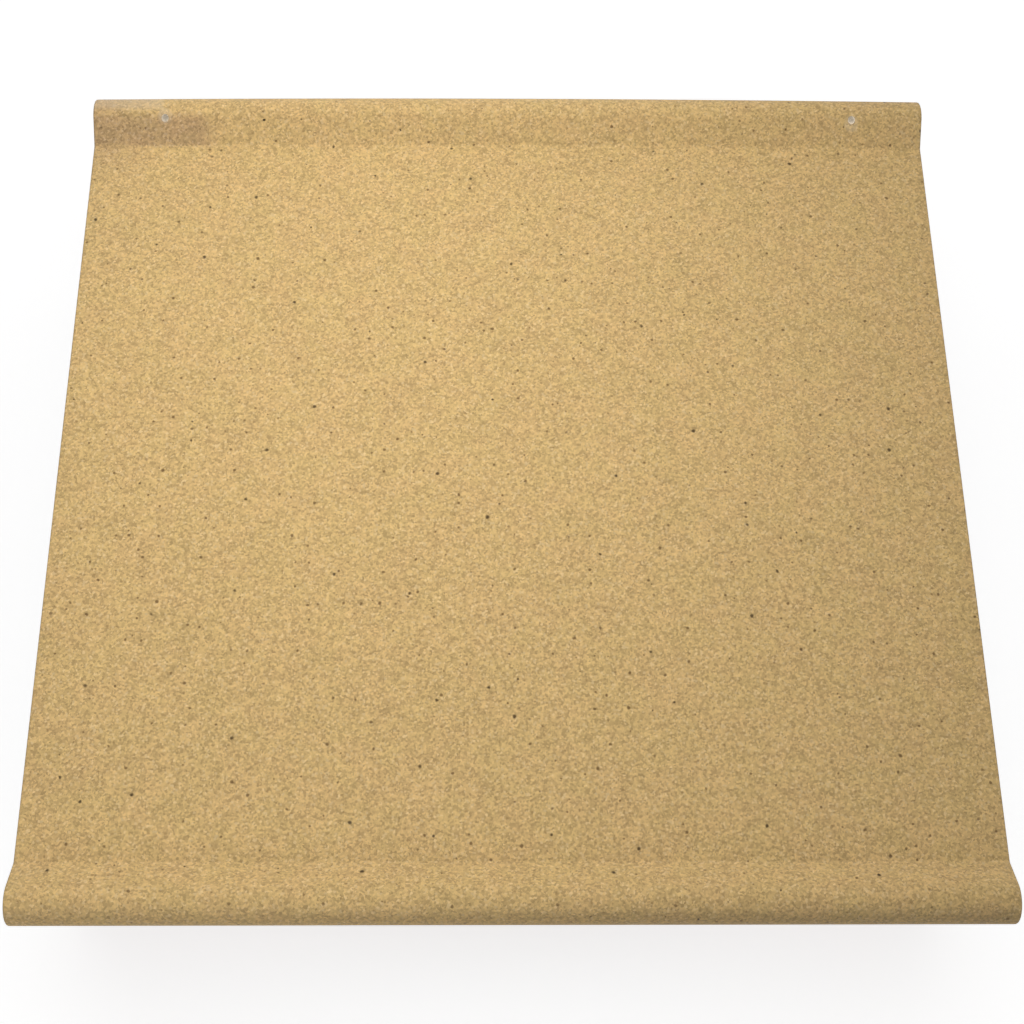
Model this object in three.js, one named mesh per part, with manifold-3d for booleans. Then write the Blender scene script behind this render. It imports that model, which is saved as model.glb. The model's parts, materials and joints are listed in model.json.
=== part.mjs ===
// Hand sanding block for a quarter sheet of abrasive paper.
//
// A moulded cork palm cover with two rolled finger lips is pinned and bonded to a ribbed body.
// An aluminium sole is screwed up into brass inserts in the body, and a foam pad is bonded under it.
// The abrasive sheet wraps the pad and runs up both end walls, where a sprung clamp bar holds each end.
//
// Millimetres. +X runs along the lips, -Y is the front, +Z is up.
// The origin is on the grit face, at the middle of the block.

import * as THREE from 'three';
import { mergeVertices } from 'three/addons/utils/BufferGeometryUtils.js';
import Module from 'manifold-3d';

const wasm = await Module();
wasm.setup();

// ---- Driving dimensions ----

// Palm cover and its rolled lips
const coverWidth = 115;
const coverDepth = 115;
const coverThickness = 3.5;
const beadRadius = 2.64;
const beadRise = 0.1; // centre of the bead above the palm flat
const rampAngle = THREE.MathUtils.degToRad(36.3);
const gripDepth = 9.5; // how far fingers reach in under each lip
const sideReveal = 1; // how far the cover stands out past the body's sides
const lipOverhang = 2.7; // how far each lip stands out past the deck under it

// Body moulding
const bodyHeight = 18;
const endWallThickness = 3;
const sideWallThickness = 4.5;
const sideGrooveDepth = 2;
const sideGrooveHeight = 9;
const sideGrooveLand = 9; // plain wall left at each end of a groove
const sideGrooveDrop = 6.5; // middle of the groove below the palm cover
const deckThickness = 2.5;
const ribThickness = 2;
const ribHeight = 7;
const ribSpacing = 34;
const bossRadius = 4.6;
const bossInsetX = 20.5;
const bossInsetY = 18;
const lugWidth = 12.5;
const lugWall = 2.35; // round the pivot bore

// Sole, pad and abrasive sheet
const soleThickness = 3;
const padThickness = 7.2;
const padCornerRadius = 5;
const padReveal = 0.5; // how far the sheet stands out past the pad's sides
const sheetThickness = 0.8;
const sheetHeadroom = 2.18; // below the deck; it makes the sheet 140 long before it is folded

// Sprung clamp bars
const pinRadius = 1;
const pinHeadRadius = 2;
const pinHeadThickness = 0.7;
const knuckleRadius = 2.1;
const knuckleHeadroom = 0.9; // below the deck
const leafThickness = 1.2;
const gripPadThickness = 1;
const gripPadHeight = 5.5;
const gripPadDrop = 4.3; // below the sheet's edge
const jawHem = 1; // leaf below its grip pad
const tabWidth = 44;
const tabDrop = 2;
const tabFlare = 1.7;
const endPlay = 0.4; // between a clamp and each lug

// Torsion springs
const springInset = 16.1; // middle of each coil in from the clamp's end
const springRoom = 7;
const wireRadius = 0.35;
const coilClearance = 0.4; // between coil and pin
const coilTurns = 3;
const coilPitch = 0.95;
const springLegReach = 5;

// Fasteners
const lipPinRadius = 0.5;
const lipPinHeadRadius = 0.62;
const lipPinHeadHeight = 0.5;
const lipPinLength = 8.4;
const lipPinPointLength = 1;
const lipPinProud = 0.15; // head above the lip's surface
const lipPinInset = 9.9;
const screwRadius = 1.5;
const screwHeadRadius = 3;
const screwHeadHeight = 1.6;
const screwLength = 10;
const screwDriveRadius = 1.2;
const screwDriveDepth = 1;
const insertRadius = 2.6;
const insertLength = 6;

// Clearances
const runningClearance = 0.15;
const fitClearance = 0.15;
const touchGap = 0.1;
const slotClearance = 0.4;
const recess = 0.3;

// Facets
const beadSegments = 9; // to each quarter turn
const roundSegments = 16;
const cornerSegments = 8;
const grooveSegments = 32;
const wireSides = 6;
const springPointsPerTurn = 12;
const springStepsPerTurn = 16;
const springLegSteps = 14;
const overshoot = 1; // how far a cutter runs past what it cuts, and a joined piece bites into its neighbour

// ---- Derived places ----

const padBottom = sheetThickness;
const soleBottom = padBottom + padThickness;
const bodyBottom = soleBottom + soleThickness;
const deckTop = bodyBottom + bodyHeight;
const deckBottom = deckTop - deckThickness;
const palmHeight = deckTop + coverThickness;

const bodyWidth = coverWidth - 2 * sideReveal;
const endFace = coverDepth / 2 - gripDepth;
const deckReach = coverDepth / 2 - lipOverhang;
const lugInner = bodyWidth / 2 - lugWidth;
const bossX = bodyWidth / 2 - bossInsetX;
const bossY = endFace - bossInsetY;

const beadY = coverDepth / 2 - beadRadius;
const beadZ = palmHeight + beadRise;
const creaseY = beadY - (beadRadius + beadRise * Math.cos(rampAngle)) / Math.sin(rampAngle);
const rampTopY = beadY - beadRadius * Math.sin(rampAngle);
const rampTopZ = beadZ + beadRadius * Math.cos(rampAngle);

const sheetTop = deckBottom - sheetHeadroom;
const sheetFace = endFace + sheetThickness;
const leafInner = sheetFace + touchGap + gripPadThickness;
const leafOuter = leafInner + leafThickness;
const gripPadTop = sheetTop - gripPadDrop;
const gripPadBottom = gripPadTop - gripPadHeight;
const leafBottom = gripPadBottom - jawHem;
const clampHalfLength = lugInner - endPlay;

const pivotY = sheetFace + slotClearance + knuckleRadius;
const pivotZ = deckBottom - knuckleHeadroom - knuckleRadius;
const boreRadius = pinRadius + runningClearance;
const lugRadius = boreRadius + lugWall;
const coilRadius = pinRadius + coilClearance + wireRadius;
const springOffset = clampHalfLength - springInset;

// ---- Materials ----

const finish = (color, roughness, metalness = 0) =>
  new THREE.MeshStandardMaterial({ color, roughness, metalness });

const cork = finish(0xc2a268, 0.55);
const blackPlastic = finish(0x2b2a28, 0.5);
const aluminium = finish(0xb9bcc0, 0.35, 1);
const foam = finish(0x4a4d50, 0.9);
const abrasive = finish(0x8a4a2c, 0.95);
const springSteel = finish(0x9a9da1, 0.35, 1);
const brightSteel = finish(0xc8ccd2, 0.25, 1);
const brass = finish(0xb08d4c, 0.35, 1);
const rubber = finish(0x1d1d1d, 0.85);

// ---- Shape helpers ----

const acrossBlock = new THREE.Matrix4().makeBasis(
  new THREE.Vector3(0, 1, 0),
  new THREE.Vector3(0, 0, 1),
  new THREE.Vector3(1, 0, 0),
);

/** A (y, z) outline run along X from low to high. */
function alongX(outline, low, high) {
  const shape = outline instanceof THREE.Shape ? outline : new THREE.Shape(outline);
  const settings = { depth: high - low, bevelEnabled: false, curveSegments: cornerSegments };
  return new THREE.ExtrudeGeometry(shape, settings).applyMatrix4(acrossBlock).translate(low, 0, 0);
}

/** A box from its low and high corners. */
function block(low, high) {
  const [x, y, z] = low.map((value, axis) => high[axis] - value);
  const [cx, cy, cz] = low.map((value, axis) => (high[axis] + value) / 2);
  return new THREE.BoxGeometry(x, y, z).translate(cx, cy, cz);
}

/** A box centred on the Z axis. */
const centredBlock = (width, depth, low, high) =>
  block([-width / 2, -depth / 2, low], [width / 2, depth / 2, high]);

/** A round bar along X at (y, z). */
function roundBar(radius, low, high, y, z) {
  return new THREE.CylinderGeometry(radius, radius, high - low, roundSegments)
    .rotateZ(Math.PI / 2)
    .translate((low + high) / 2, y, z);
}

/** A turned piece standing on Z, from [radius, height] pairs. */
function turned(profile) {
  const points = profile.map(([radius, height]) => new THREE.Vector2(radius, height));
  return new THREE.LatheGeometry(points, roundSegments).rotateX(Math.PI / 2);
}

/** Points on an arc about (y, z), both ends included. */
function arc(y, z, radius, from, to, segments) {
  return Array.from({ length: segments + 1 }, (_, step) => {
    const angle = from + ((to - from) * step) / segments;
    return new THREE.Vector2(y + radius * Math.cos(angle), z + radius * Math.sin(angle));
  });
}

const point = (y, z) => new THREE.Vector2(y, z);

/** The places of the four bosses, which the screws and inserts share. */
const bossPlaces = [-1, 1].flatMap((sideX) => [-1, 1].map((sideY) => [sideX * bossX, sideY * bossY]));

// ---- Joining and cutting ----

function toSolid(geometry) {
  const bare = geometry.clone();
  bare.deleteAttribute('normal');
  bare.deleteAttribute('uv');
  const merged = mergeVertices(bare, 1e-5);
  return new wasm.Manifold(
    new wasm.Mesh({
      numProp: 3,
      vertProperties: new Float32Array(merged.attributes.position.array),
      triVerts: new Uint32Array(merged.index.array),
    }),
  );
}

function toGeometry(solid) {
  const { vertProperties, triVerts } = solid.getMesh();
  const geometry = new THREE.BufferGeometry();
  geometry.setAttribute('position', new THREE.BufferAttribute(vertProperties, 3));
  geometry.setIndex(new THREE.BufferAttribute(triVerts, 1));
  geometry.computeVertexNormals();
  return geometry;
}

/** Joins the first list of geometries, then cuts the second list from them. */
function shaped(joined, cuts = []) {
  const whole = joined.map(toSolid).reduce((sum, piece) => sum.add(piece));
  return toGeometry(cuts.map(toSolid).reduce((rest, cutter) => rest.subtract(cutter), whole));
}

function piece(name, geometry, material) {
  const mesh = new THREE.Mesh(geometry, material);
  mesh.name = name;
  return mesh;
}

// ---- Palm cover ----

/** Half of the cover's section: from the deck's edge out under the lip, round its bead and down the ramp. */
function lipOutline() {
  const upperTurn = Math.PI / 2 + rampAngle;
  const upperSegments = Math.round((beadSegments * upperTurn) / (Math.PI / 2));
  return [
    point(deckReach, deckTop),
    ...arc(beadY, beadZ, beadRadius, -Math.PI / 2, 0, beadSegments),
    ...arc(beadY, beadZ, beadRadius, 0, upperTurn, upperSegments).slice(1),
    point(creaseY, palmHeight),
  ];
}

function palmCover() {
  const rear = lipOutline();
  const front = rear.map(({ x, y }) => point(-x, y)).reverse();
  return shaped(
    [alongX([...rear, ...front], -coverWidth / 2, coverWidth / 2)],
    lipPinPlaces.map(([x, y]) => lipPinHole(x, y)),
  );
}

// ---- Lip pins: two steel drive pins through the rear lip into the body's rear lugs ----

const lipPinPlaces = [-1, 1].map((side) => [side * (coverWidth / 2 - lipPinInset), rampTopY]);
const lipPinTop = rampTopZ + lipPinProud;

/** A round pin with a pointed end and a low domed head, hanging down from its top. */
function lipPin() {
  const headLow = -lipPinHeadHeight;
  return turned([
    [0, -lipPinLength],
    [lipPinRadius, lipPinPointLength - lipPinLength],
    [lipPinRadius, headLow],
    [lipPinHeadRadius, headLow],
    [lipPinHeadRadius, headLow / 2],
    [lipPinHeadRadius / 2, 0],
    [0, 0],
  ]);
}

function lipPinHole(x, y) {
  const radius = lipPinHeadRadius + fitClearance;
  return turned([
    [0, -lipPinLength - recess],
    [radius, -lipPinLength - recess],
    [radius, overshoot],
    [0, overshoot],
  ]).translate(x, y, lipPinTop);
}

// ---- Body moulding ----

/** One lug: it carries the pivot pin and leaves a slot for the sheet beside the end wall. */
function lugOutline() {
  const slotOuter = sheetFace + slotClearance;
  const slotTop = sheetTop + slotClearance;
  return [
    point(endFace - overshoot, deckBottom + overshoot),
    point(endFace - overshoot, slotTop),
    point(slotOuter, slotTop),
    point(slotOuter, pivotZ - lugRadius),
    ...arc(pivotY, pivotZ, lugRadius, -Math.PI / 2, 0, cornerSegments),
    point(deckReach, deckBottom),
    point(deckReach, deckBottom + overshoot),
  ];
}

function body() {
  const cavityX = bodyWidth / 2 - sideWallThickness;
  const cavityY = endFace - endWallThickness;
  const walls = shaped(
    [centredBlock(bodyWidth, 2 * endFace, bodyBottom, deckTop)],
    [centredBlock(2 * cavityX, 2 * cavityY, bodyBottom - overshoot, deckBottom)],
  );
  const deck = centredBlock(bodyWidth, 2 * deckReach, deckBottom, deckTop);
  const ribLow = deckBottom - ribHeight;
  const ribHigh = deckBottom + overshoot;
  const ribs = [-1, 1].flatMap((side) => {
    const middle = (side * ribSpacing) / 2;
    const low = middle - ribThickness / 2;
    const high = middle + ribThickness / 2;
    return [
      block([low, -cavityY - overshoot, ribLow], [high, cavityY + overshoot, ribHigh]),
      block([-cavityX - overshoot, low, ribLow], [cavityX + overshoot, high, ribHigh]),
    ];
  });
  const bosses = bossPlaces.map(([x, y]) =>
    turned([
      [0, bodyBottom],
      [bossRadius, bodyBottom],
      [bossRadius, ribHigh],
      [0, ribHigh],
    ]).translate(x, y, 0),
  );
  const lugs = [-1, 1].flatMap((side) => {
    const [low, high] = side < 0 ? [-bodyWidth / 2, -lugInner] : [lugInner, bodyWidth / 2];
    const rear = alongX(lugOutline(), low, high);
    return [rear, rear.clone().rotateZ(Math.PI)];
  });
  const insertHoles = bossPlaces.map(([x, y]) => {
    const radius = insertRadius + fitClearance;
    const top = soleBottom + screwLength + recess;
    return turned([
      [0, bodyBottom - overshoot],
      [radius, bodyBottom - overshoot],
      [radius, top],
      [0, top],
    ]).translate(x, y, 0);
  });
  const reach = bodyWidth / 2 + overshoot;
  const pivotBores = [-1, 1].map((side) => roundBar(boreRadius, -reach, reach, side * pivotY, pivotZ));
  const pinHoles = lipPinPlaces.map(([x, y]) => lipPinHole(x, y));
  return shaped(
    [walls, deck, ...ribs, ...bosses, ...lugs],
    [...insertHoles, ...pivotBores, ...pinHoles, ...sideGrooves()],
  );
}

/** Round-bottomed finger grooves along both sides. */
function sideGrooves() {
  const halfChord = sideGrooveHeight / 2;
  const radius = (halfChord ** 2 + sideGrooveDepth ** 2) / (2 * sideGrooveDepth);
  const axisX = bodyWidth / 2 - sideGrooveDepth + radius;
  const length = 2 * (endFace - sideGrooveLand);
  return [-1, 1].map((side) =>
    new THREE.CylinderGeometry(radius, radius, length, grooveSegments)
      .translate(side * axisX, 0, deckTop - sideGrooveDrop),
  );
}

// ---- Sole, pad and abrasive sheet ----

/** A countersunk screw's outline, head down at height zero, grown by a clearance. */
function screwProfile(length, room) {
  const head = screwHeadRadius + room;
  const shank = screwRadius + room;
  return [
    [0, 0],
    [head, 0],
    [head, recess],
    [shank, screwHeadHeight + recess],
    [shank, length],
    [0, length],
  ];
}

function solePlate() {
  const holes = bossPlaces.map(([x, y]) =>
    turned(screwProfile(screwLength, fitClearance)).translate(x, y, soleBottom - touchGap / 2),
  );
  return shaped([centredBlock(bodyWidth, 2 * endFace, soleBottom, bodyBottom)], holes);
}

/** The pad's section: square above, with both lower corners rounded for the sheet to wrap. */
function padOutline() {
  const centre = endFace - padCornerRadius;
  const height = padBottom + padCornerRadius;
  return [
    ...arc(-centre, height, padCornerRadius, -Math.PI, -Math.PI / 2, cornerSegments),
    ...arc(centre, height, padCornerRadius, -Math.PI / 2, 0, cornerSegments),
    point(endFace, soleBottom),
    point(-endFace, soleBottom),
  ];
}

/** The sheet's section: flat under the pad, round its corners and up both end walls. */
function sheetOutline() {
  const centre = endFace - padCornerRadius;
  const height = padBottom + padCornerRadius;
  const outer = padCornerRadius + sheetThickness;
  return [
    point(-sheetFace, sheetTop),
    ...arc(-centre, height, outer, -Math.PI, -Math.PI / 2, cornerSegments),
    ...arc(centre, height, outer, -Math.PI / 2, 0, cornerSegments),
    point(sheetFace, sheetTop),
    point(endFace, sheetTop),
    ...arc(centre, height, padCornerRadius, 0, -Math.PI / 2, cornerSegments),
    ...arc(-centre, height, padCornerRadius, -Math.PI / 2, -Math.PI, cornerSegments),
    point(-endFace, sheetTop),
  ];
}

// ---- Screws and inserts ----

function soleScrew() {
  const drive = new THREE.CylinderGeometry(screwDriveRadius, screwDriveRadius, 2 * screwDriveDepth, 6);
  const shape = screwProfile(screwLength - touchGap, 0);
  return shaped([turned(shape)], [drive.rotateX(Math.PI / 2)]);
}

function threadInsert() {
  const inner = screwRadius + runningClearance;
  return turned([
    [inner, 0],
    [insertRadius, 0],
    [insertRadius, insertLength],
    [inner, insertLength],
    [inner, 0],
  ]);
}

// ---- Sprung clamp at one end, modelled for the rear ----

function clampBar() {
  const leaf = block([-clampHalfLength, leafInner, leafBottom], [clampHalfLength, leafOuter, pivotZ]);
  const knuckle = roundBar(knuckleRadius, -clampHalfLength, clampHalfLength, pivotY, pivotZ);
  const tab = alongX(
    [
      point(leafInner, leafBottom + touchGap),
      point(leafInner, leafBottom),
      point(leafInner + tabFlare, leafBottom - tabDrop),
      point(leafOuter + tabFlare, leafBottom - tabDrop),
      point(leafOuter, leafBottom),
      point(leafOuter, leafBottom + touchGap),
    ],
    -tabWidth / 2,
    tabWidth / 2,
  );
  const bore = roundBar(
    boreRadius, -clampHalfLength - overshoot, clampHalfLength + overshoot, pivotY, pivotZ,
  );
  const reach = knuckleRadius + slotClearance;
  const springGaps = [-1, 1].map((side) =>
    block(
      [side * springOffset - springRoom / 2, pivotY - reach - overshoot, pivotZ - reach],
      [side * springOffset + springRoom / 2, pivotY + reach + overshoot, pivotZ + reach],
    ),
  );
  return shaped([leaf, knuckle, tab], [bore, ...springGaps]);
}

const gripPad = () =>
  block(
    [-clampHalfLength, leafInner - gripPadThickness, gripPadBottom],
    [clampHalfLength, leafInner, gripPadTop],
  );

/** A straight pin with a flat head outside one lug. */
function pivotPin() {
  const half = bodyWidth / 2;
  const headLow = half + touchGap;
  const headHigh = headLow + pinHeadThickness;
  return shaped([
    roundBar(pinRadius, -half - touchGap - pinHeadThickness / 2, headLow + touchGap, pivotY, pivotZ),
    roundBar(pinHeadRadius, headLow, headHigh, pivotY, pivotZ),
  ]);
}

/** A push-on cap that keeps the pin's plain end. */
function pinCap() {
  const low = -bodyWidth / 2 - touchGap - pinHeadThickness;
  const socketEnd = low + pinHeadThickness / 2 - touchGap;
  return shaped(
    [roundBar(pinHeadRadius, low, low + pinHeadThickness, pivotY, pivotZ)],
    [roundBar(boreRadius, socketEnd, low + pinHeadThickness + overshoot, pivotY, pivotZ)],
  );
}

/** A torsion spring round the pin: one leg on the end wall above the sheet, one on the leaf. */
function torsionSpring(middle) {
  const sweep = Math.PI / 2 + 2 * Math.PI * coilTurns;
  const coilLength = (coilPitch * sweep) / (2 * Math.PI);
  const start = middle - coilLength / 2;
  const lastPoint = Math.round((springPointsPerTurn * sweep) / (2 * Math.PI));
  const turnsOfWire = Array.from({ length: lastPoint + 1 }, (_, step) => {
    const share = step / lastPoint;
    const angle = Math.PI / 2 - sweep * share;
    return new THREE.Vector3(
      start + coilLength * share,
      pivotY + coilRadius * Math.cos(angle),
      pivotZ + coilRadius * Math.sin(angle),
    );
  });
  const end = start + coilLength;
  const wallRest = endFace + wireRadius + touchGap;
  const leafRest = leafOuter + wireRadius + touchGap;
  const legTop = pivotZ + coilRadius;
  const path = new THREE.CatmullRomCurve3([
    new THREE.Vector3(start, wallRest, legTop),
    new THREE.Vector3(start, (wallRest + pivotY) / 2, legTop),
    ...turnsOfWire,
    new THREE.Vector3(end, (pivotY + coilRadius + leafRest) / 2, pivotZ - springLegReach / 2),
    new THREE.Vector3(end, leafRest, pivotZ - springLegReach),
    new THREE.Vector3(end, leafRest, pivotZ - springLegReach - coilRadius),
  ]);
  const wire = new THREE.Shape(
    Array.from({ length: wireSides }, (_, side) => {
      const angle = (2 * Math.PI * side) / wireSides;
      return new THREE.Vector2(wireRadius * Math.cos(angle), wireRadius * Math.sin(angle));
    }),
  );
  const steps = springStepsPerTurn * coilTurns + springLegSteps;
  return new THREE.ExtrudeGeometry(wire, { steps, extrudePath: path, bevelEnabled: false });
}

function clampAssembly(end) {
  const group = new THREE.Group();
  group.add(
    piece(`clamp_bar_${end}`, clampBar(), springSteel),
    piece(`clamp_grip_pad_${end}`, gripPad(), rubber),
    piece(`pivot_pin_${end}`, pivotPin(), brightSteel),
    piece(`pin_cap_${end}`, pinCap(), brightSteel),
    piece(`torsion_spring_${end}_1`, torsionSpring(-springOffset), springSteel),
    piece(`torsion_spring_${end}_2`, torsionSpring(springOffset), springSteel),
  );
  return group;
}

// ---- Assembly ----

const sandingBlock = new THREE.Group();

sandingBlock.add(
  piece('palm_cover', palmCover(), cork),
  piece('body', body(), blackPlastic),
  piece('sole_plate', solePlate(), aluminium),
  piece('foam_pad', alongX(padOutline(), padReveal - coverWidth / 2, coverWidth / 2 - padReveal), foam),
  piece('abrasive_sheet', alongX(sheetOutline(), -coverWidth / 2, coverWidth / 2), abrasive),
);

lipPinPlaces.forEach(([x, y], index) => {
  const pin = piece(`lip_pin_${index + 1}`, lipPin(), brightSteel);
  pin.position.set(x, y, lipPinTop);
  sandingBlock.add(pin);
});

bossPlaces.forEach(([x, y], index) => {
  const screw = piece(`sole_screw_${index + 1}`, soleScrew(), brightSteel);
  screw.position.set(x, y, soleBottom + touchGap / 2);
  const insert = piece(`thread_insert_${index + 1}`, threadInsert(), brass);
  insert.position.set(x, y, bodyBottom + recess);
  sandingBlock.add(screw, insert);
});

const rearClamp = clampAssembly('rear');
const frontClamp = clampAssembly('front');
frontClamp.rotation.z = Math.PI;
sandingBlock.add(rearClamp, frontClamp);

export default sandingBlock;
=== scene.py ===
"""A quarter-sheet sanding block: its pieces, finishes and stage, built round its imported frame.

Lengths are in metres in the frame's own axes: +X along the finger lips, +Y to the rear, +Z up.
Texture sizes are in millimetres.
"""
import json
import math

import bmesh
import bpy
from mathutils import Matrix, Vector

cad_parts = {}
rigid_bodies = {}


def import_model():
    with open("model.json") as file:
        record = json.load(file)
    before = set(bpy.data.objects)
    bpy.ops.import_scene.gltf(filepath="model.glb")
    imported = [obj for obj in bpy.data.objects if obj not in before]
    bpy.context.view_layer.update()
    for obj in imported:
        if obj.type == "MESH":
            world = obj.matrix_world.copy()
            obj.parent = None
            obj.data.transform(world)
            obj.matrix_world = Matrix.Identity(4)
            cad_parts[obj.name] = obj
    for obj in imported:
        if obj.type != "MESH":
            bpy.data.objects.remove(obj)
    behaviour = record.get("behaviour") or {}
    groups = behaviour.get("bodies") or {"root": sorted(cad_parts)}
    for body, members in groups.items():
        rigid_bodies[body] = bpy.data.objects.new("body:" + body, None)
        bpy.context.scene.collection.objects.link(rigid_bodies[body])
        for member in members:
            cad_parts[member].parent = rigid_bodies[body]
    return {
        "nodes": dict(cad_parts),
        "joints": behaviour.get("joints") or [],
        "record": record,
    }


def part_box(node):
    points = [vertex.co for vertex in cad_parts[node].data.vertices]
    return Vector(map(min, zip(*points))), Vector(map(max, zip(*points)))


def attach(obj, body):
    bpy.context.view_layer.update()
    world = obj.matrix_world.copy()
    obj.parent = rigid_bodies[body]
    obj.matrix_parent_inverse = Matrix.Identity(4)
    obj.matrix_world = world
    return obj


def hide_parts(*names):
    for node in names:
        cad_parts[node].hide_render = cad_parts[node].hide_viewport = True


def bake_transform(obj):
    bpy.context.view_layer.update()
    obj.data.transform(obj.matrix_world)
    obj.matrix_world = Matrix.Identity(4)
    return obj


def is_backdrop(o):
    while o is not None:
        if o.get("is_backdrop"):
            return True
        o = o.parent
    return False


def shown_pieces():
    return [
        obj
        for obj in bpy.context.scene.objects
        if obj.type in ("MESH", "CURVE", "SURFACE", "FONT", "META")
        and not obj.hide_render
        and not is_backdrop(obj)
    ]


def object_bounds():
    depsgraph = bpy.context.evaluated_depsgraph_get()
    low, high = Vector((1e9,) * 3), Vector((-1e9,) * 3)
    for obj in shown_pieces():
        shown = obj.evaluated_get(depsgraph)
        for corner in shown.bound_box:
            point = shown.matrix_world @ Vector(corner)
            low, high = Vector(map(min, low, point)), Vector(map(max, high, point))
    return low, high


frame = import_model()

bl_info = {
    "name": "Sanding Block",
    "version": (1, 0, 0),
    "blender": (4, 5, 0),
    "location": "3D View > Sidebar > Sanding Block",
    "description": "Builds a clamping sanding block's cover, body, pad, sheet, clamps and stage",
    "category": "Add Mesh",
}

MM = 0.001
CAD_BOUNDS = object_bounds()

# The rear clamp's hinge line. Clamp parts are made at the rear, and turned round for the front.
REAR_JOINT = next(joint for joint in frame["joints"] if joint["child"] == "rear_clamp")
PIVOT = Vector(REAR_JOINT["pos_m"])
ENDS = {"rear": Matrix.Identity(4), "front": Matrix.Rotation(math.pi, 4, "Z")}

# A CAD edge that bends more than CORNER is a corner. A made mesh is creased where it bends more
# than CREASE.
CORNER = math.radians(38)
CREASE = math.radians(32)
# A CAD node's outer edges lie beyond SEEN_SHARE of its half sides. Edges shorter than RIM_STEP
# belong to the rims of small holes. Two places closer than FUSE are the same place.
SEEN_SHARE = 0.85
RIM_STEP = 0.6 * MM
FUSE = 0.01 * MM

# The finger groove's section: an arc of this half chord and depth, centred this far below the deck.
GROOVE_HALF = 4.5 * MM
GROOVE_DEPTH = 2 * MM
GROOVE_DROP = 6.5 * MM
# How far each groove stops short of the sole plate's ends.
GROOVE_LAND = 9 * MM

# The key light's direction, and where the other lights stand, in metres.
KEY_AXIS = Vector((-0.319, -0.500, -1.0))
LIP_LIGHT = {"place": (-0.040, -0.118, 0.068), "target": (-0.020, -0.057, 0.033)}
LIP_LIGHT_SIZE = (0.090, 0.020)
TOP_PANEL = {"place": (-0.05, 0.10, 0.85), "target": (0, 0, 0)}
TOP_PANEL_SIZE = 0.5
FILL_AZIMUTHS = {
    "fill_front_right": -52, "fill_rear_right": 38, "fill_rear_left": 128, "fill_front_left": 218,
}
FILL_REACH, FILL_HEIGHT, FILL_SIZE = 0.55, 0.26, 0.35
# The floor is flat out to FLOOR_REACH, and curves up by FLOOR_RISE beyond it.
FLOOR_REACH, FLOOR_RISE = 2.0, 1.2


# ---------------------------------------------------------------- settings


def length(name, default, description):
    """A length property given in millimetres and kept in metres."""
    return bpy.props.FloatProperty(
        name=name, description=description, default=default * MM, min=0, precision=5,
        subtype="DISTANCE", unit="LENGTH",
    )


def angle(name, default, description):
    """An angle property given in degrees."""
    return bpy.props.FloatProperty(
        name=name, description=description, default=math.radians(default), subtype="ANGLE",
        unit="ROTATION",
    )


def colour(name, default, description):
    """A linear colour property."""
    return bpy.props.FloatVectorProperty(
        name=name, description=description, default=default, size=3, min=0, max=1,
        subtype="COLOR",
    )


def amount(name, default, description):
    """A plain number property."""
    return bpy.props.FloatProperty(name=name, description=description, default=default)


def count(name, default, description):
    """A whole number property."""
    return bpy.props.IntProperty(name=name, description=description, default=default, min=1)


class CoverSettings(bpy.types.PropertyGroup):
    """Sizes and colours of the cork palm cover and its pins."""

    bead_radius: length("Bead radius", 2.64, "Radius of the rolled bead along each lip")
    ramp_angle: angle("Ramp angle", 36.3, "Slope from the palm flat up to each bead")
    crease_round: length("Crease round", 0.45, "Radius where the ramp leaves the flat")
    edge_round: length("Edge round", 0.3, "Radius along the cut side edges")
    rear_bow: length("Rear bow", 0.4, "How far the rear lip bows out in its middle")
    rear_skew: length("Rear skew", 0.84, "How far forward the rear lip's left end sits")
    pin_head: length("Pin head radius", 0.5, "Radius of each lip pin's domed head")
    base: colour("Cork", (0.549, 0.373, 0.155), "Main colour of the cork")
    # pale is the colour of painted glints on the cork's granules.
    pale: colour("Pale granules", (0.80, 0.60, 0.33), "Lightest cork granules")
    bark: colour("Bark specks", (0.022, 0.010, 0.004), "Bark in the cork")


class BodySettings(bpy.types.PropertyGroup):
    """Sizes and colours of the body, sole and fasteners."""

    edge_round: length("Edge round", 0.25, "Radius on the moulding's outer edges")
    sole_round: length("Sole edge round", 0.15, "Radius on the sole plate's edges")
    rib_height: length("Grip rib height", 0.45, "How far grip ribs stand up in a side groove")
    rib_count: count("Grip ribs", 25, "Ribs in each side groove")
    plastic: colour("Plastic", (0.030, 0.030, 0.031), "Colour of the moulding")
    metal: colour("Aluminium", (0.62, 0.63, 0.65), "Colour of the sole plate")
    brass: colour("Brass", (0.60, 0.42, 0.16), "Colour of the inserts")
    steel: colour("Steel", (0.68, 0.70, 0.73), "Colour of pins and screws")


class PadSettings(bpy.types.PropertyGroup):
    """Sizes and colours of the foam pad and the abrasive sheet."""

    side_bulge: length("Side bulge", 0.35, "How far the foam's cut sides swell")
    grit_size: length("Grit size", 0.24, "Spacing of the abrasive grains")
    foam: colour("Foam", (0.105, 0.110, 0.118), "Colour of the foam")
    grit: colour("Grit", (0.235, 0.070, 0.034), "Colour of the mineral grains")
    glue: colour("Grit bond", (0.105, 0.034, 0.020), "Colour of the bond between the grains")
    backing: colour("Backing", (0.47, 0.33, 0.17), "Colour of the sheet's cloth back")


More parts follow.
